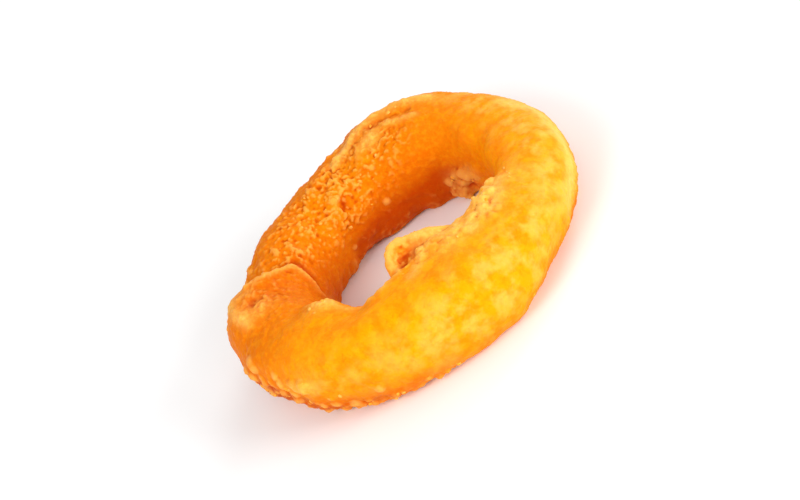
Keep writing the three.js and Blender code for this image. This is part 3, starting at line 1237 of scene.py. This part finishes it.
@dataclass
class BatteredRing:
    """The ring itself: its solid's form, refined into a crisp fried skin.

    The smoothings are numbers of rounds. The rises are the heights of relief, in metres, over
    which the painted highlight on crests and the painted shade in hollows come in, and
    smooth_hollows is how much of that painted shade smooth skin shows. The halo is where a
    crumb's tone starts to fade and where it has gone, counted in its radius.
    """

    name: str = "battered_ring"
    voxel: float = 0.34 * MM
    rounding_levels: int = 2
    faces_kept: float = 0.8
    weight_steps: int = 32
    facet_smoothing: int = 10
    crumb_smoothing: int = 2
    spike_smoothing: int = 1
    relief_smoothing: int = 30
    proud_rise: tuple[float, float] = (0.04 * MM, 0.2 * MM)
    hollow_rise: tuple[float, float] = (0.03 * MM, 0.25 * MM)
    smooth_hollows: float = 0.4
    halo: tuple[float, float] = (0.95, 1.35)
    rough_zones: tuple[Zone, ...] = (Zone.SQUIGGLY, Zone.CRAGGY, Zone.LIP)

    def build(self, line: DoughLine) -> Object:
        """Models the ring.

        Args:
            line: The line through the middle of the dough.

        Returns:
            The finished piece, not yet dressed.
        """
        ring = self._solid_copy()
        self._remesh(ring, self.facet_smoothing)
        crumbs, placed = FUSED_CRUMBS.build(line, ring)
        ring = join([ring, crumbs])
        self._remesh(ring, self.crumb_smoothing)
        self._mark_zones(ring, line)
        for layer in RELIEF:
            layer.apply(ring)
        ring.vertex_groups.clear()
        soften(ring, self.spike_smoothing)
        apply_modifier(ring, "DECIMATE", ratio=self.faces_kept)
        self._settle(ring)
        self._store_tones(ring, line, placed)
        ring.data.shade_smooth()
        return ring

    def _solid_copy(self) -> Object:
        """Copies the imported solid, merges its corners and rounds its facets.

        Returns:
            The copy.
        """
        ring = copy_of(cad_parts[NODE], self.name)
        only(ring)
        bpy.ops.object.mode_set(mode="EDIT")
        bpy.ops.mesh.select_all(action="SELECT")
        bpy.ops.mesh.remove_doubles(threshold=MERGE_DISTANCE)
        bpy.ops.object.mode_set(mode="OBJECT")
        levels = self.rounding_levels
        apply_modifier(ring, "SUBSURF", levels=levels, render_levels=levels)
        return ring

    def _remesh(self, ring: Object, smoothing: int) -> None:
        """Gives the mesh small even faces, as one skin, and softens it.

        Args:
            ring: The mesh object.
            smoothing: How many times it is smoothed.
        """
        apply_modifier(ring, "REMESH", mode="VOXEL", voxel_size=self.voxel)
        soften(ring, smoothing)

    def _mark_zones(self, ring: Object, line: DoughLine) -> None:
        """Gives the mesh a vertex group for each zone of relief.

        Args:
            ring: The mesh object.
            line: The line through the middle of the dough.
        """
        points = points_of(ring)
        for zone, marks in RELIEF_MARKS.items():
            weights = np.round(line.mask(points, marks) * self.weight_steps)
            group = ring.vertex_groups.new(name=zone.value)
            for step in range(1, self.weight_steps + 1):
                near = np.flatnonzero(weights == step).tolist()
                group.add(near, step / self.weight_steps, "REPLACE")

    def _settle(self, ring: Object) -> None:
        """Flattens whatever would reach below the surface that the ring rests on.

        Args:
            ring: The mesh object.
        """
        points = points_of(ring)
        points[:, 2] = np.maximum(points[:, 2], CAD_BOX[0][2])
        ring.data.vertices.foreach_set("co", points.ravel())
        ring.data.update()

    def _store_tones(self, ring: Object, line: DoughLine, crumbs: list[Crumb]) -> None:
        """Stores the tones that the material reads.

        Args:
            ring: The mesh object.
            line: The line through the middle of the dough.
            crumbs: The crumbs that are fused to the ring.
        """
        points = points_of(ring)
        for tone, marks in TONE_MARKS.items():
            store(ring, tone.value, line.mask(points, marks))
        fine = self._relief(ring)
        rough = line.mask(points, sum((RELIEF_MARKS[zone] for zone in self.rough_zones), ()))
        share = self.smooth_hollows + (1 - self.smooth_hollows) * rough
        # Painted highlight on the relief's crests, partly paler thin crust.
        store(ring, Tone.PROUD.value, rough * smooth_step(fine, *self.proud_rise))
        # Painted shade in the relief's small hollows.
        store(ring, Tone.HOLLOW.value, share * smooth_step(-fine, *self.hollow_rise))
        away = np.full(len(points), np.inf)
        for crumb in crumbs:
            distance = np.linalg.norm(points - np.array(crumb.seat), axis=1)
            away = np.minimum(away, distance / crumb.radius)
        store(ring, Tone.CRUMBS.value, 1 - smooth_step(away, *self.halo))

    def _relief(self, ring: Object) -> np.ndarray:
        """Measures how far the skin stands out of its own smoothed form.

        Args:
            ring: The mesh object.

        Returns:
            The height of each vertex over the smoothed form, in metres.
        """
        soft = copy_of(ring, "softened")
        soften(soft, self.relief_smoothing)
        gaps = points_of(ring) - points_of(soft)
        height = (gaps * points_of(soft, "normal")).sum(axis=1)
        bpy.data.objects.remove(soft)
        return height

    @staticmethod
    def dress(ring: Object, material: Material) -> None:
        """Gives the ring its finish and its place in the frame.

        Args:
            ring: The piece.
            material: Its material.
        """
        ring.data.materials.clear()
        ring.data.materials.append(material)
        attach(ring, BODY)
        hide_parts(NODE)


@dataclass
class FineCrumbs:
    """The crumbs too small to fuse, which only stick to the ring's skin."""

    scatter: CrumbScatter = FINE_CRUMBS

    def build(self, line: DoughLine, ring: Object) -> Object:
        """Models the crumbs.

        Args:
            line: The line through the middle of the dough.
            ring: The finished ring that they stick to.

        Returns:
            The finished piece, not yet dressed.
        """
        crumbs, _ = self.scatter.build(line, ring)
        crumbs.data.shade_smooth()
        return crumbs

    @staticmethod
    def dress(crumbs: Object, material: Material) -> None:
        """Gives the crumbs their finish and their place in the frame.

        Args:
            crumbs: The piece.
            material: Its material.
        """
        crumbs.data.materials.append(material)
        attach(crumbs, BODY)


# ---- The studio ----


@dataclass(frozen=True)
class Softbox:
    """A square lamp: where it hangs and its side, in metres, and its power in watts."""

    name: str
    place: tuple[float, float, float]
    side: float
    power: float

    def hang(self, target: Vector) -> None:
        """Hangs the lamp and points it.

        Args:
            target: The point that it lights.
        """
        light = bpy.data.lights.new(self.name, "AREA")
        light.shape = "SQUARE"
        light.size = self.side
        light.energy = self.power
        lamp = bpy.data.objects.new(self.name, light)
        lamp.location = self.place
        lamp.rotation_mode = "QUATERNION"
        lamp.rotation_quaternion = (target - Vector(self.place)).to_track_quat("-Z", "Y")
        bpy.context.scene.collection.objects.link(lamp)


@dataclass
class Studio:
    """The floor, the soft light and the camera.

    The camera looks from the front, at an elevation and a roll in degrees. The frame width is
    what its picture spans at the ring, in metres.
    """

    floor_size: float = 6.0
    sky: float = 0.62
    softboxes: tuple[Softbox, ...] = (
        Softbox("key_softbox", (1.20, -0.90, 0.58), 0.80, 16.0),
        Softbox("left_fill", (-1.00, -0.80, 1.00), 0.80, 10.5),
        Softbox("front_fill", (0.10, -1.50, 0.28), 0.80, 9.5),
        Softbox("rim_softbox", (1.10, 1.00, 0.60), 0.60, 8.0),
    )
    target: Vector = Vector((-0.0006, 0.0, 0.0080))
    elevation: float = 33.0
    roll: float = 37.0
    distance: float = 0.52
    frame_width: float = 0.152
    sensor_width: float = 36.0

    def build(self) -> None:
        """Makes all of it."""
        self._floor()
        self._sky()
        for softbox in self.softboxes:
            softbox.hang(self.target)
        self._camera()
        view = bpy.context.scene.view_settings
        view.view_transform = "Standard"
        view.look = "None"

    def _floor(self) -> None:
        """Makes the floor."""
        bpy.ops.mesh.primitive_plane_add(size=self.floor_size)
        floor = bpy.context.object
        floor.name = "floor"
        floor.data.materials.append(FloorFinish().material())

    def _sky(self) -> None:
        """Lights everything softly and evenly with a white sky."""
        world = bpy.data.worlds.new("studio_sky")
        world.use_nodes = True
        background = world.node_tree.nodes["Background"]
        background.inputs["Color"].default_value = WHITE
        background.inputs["Strength"].default_value = self.sky
        bpy.context.scene.world = world

    def _camera(self) -> None:
        """Looks down on the ring from the front, turned so that its longer width climbs."""
        camera = bpy.data.objects.new("camera", bpy.data.cameras.new("camera"))
        tilt = math.radians(self.elevation)
        back = Vector((0, -math.cos(tilt), math.sin(tilt)))
        camera.location = self.target + back * self.distance
        camera.rotation_mode = "QUATERNION"
        level = (-back).to_track_quat("-Z", "Y")
        camera.rotation_quaternion = level @ Quaternion((0, 0, 1), math.radians(-self.roll))
        camera.data.sensor_width = self.sensor_width
        camera.data.lens = self.sensor_width * self.distance / self.frame_width
        bpy.context.scene.collection.objects.link(camera)
        bpy.context.scene.camera = camera


def main() -> None:
    """Builds the studio, the ring and its crumbs, and reports each piece."""
    logging.basicConfig(level=logging.INFO, format="%(message)s")
    Studio().build()
    LOG.info("studio: floor, lamps and camera")
    mottle, grain = mottle_group(), grain_group()
    line = DoughLine(points_of(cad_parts[NODE]))
    ring = BatteredRing().build(line)
    BatteredRing.dress(ring, BatterFinish().material(mottle, grain))
    LOG.info("%s: %d faces", ring.name, len(ring.data.polygons))
    crumbs = FineCrumbs().build(line, ring)
    FineCrumbs.dress(crumbs, CrumbFinish().material(mottle, grain))
    LOG.info("%s: %d faces", crumbs.name, len(crumbs.data.polygons))


if __name__ == "__main__":
    main()
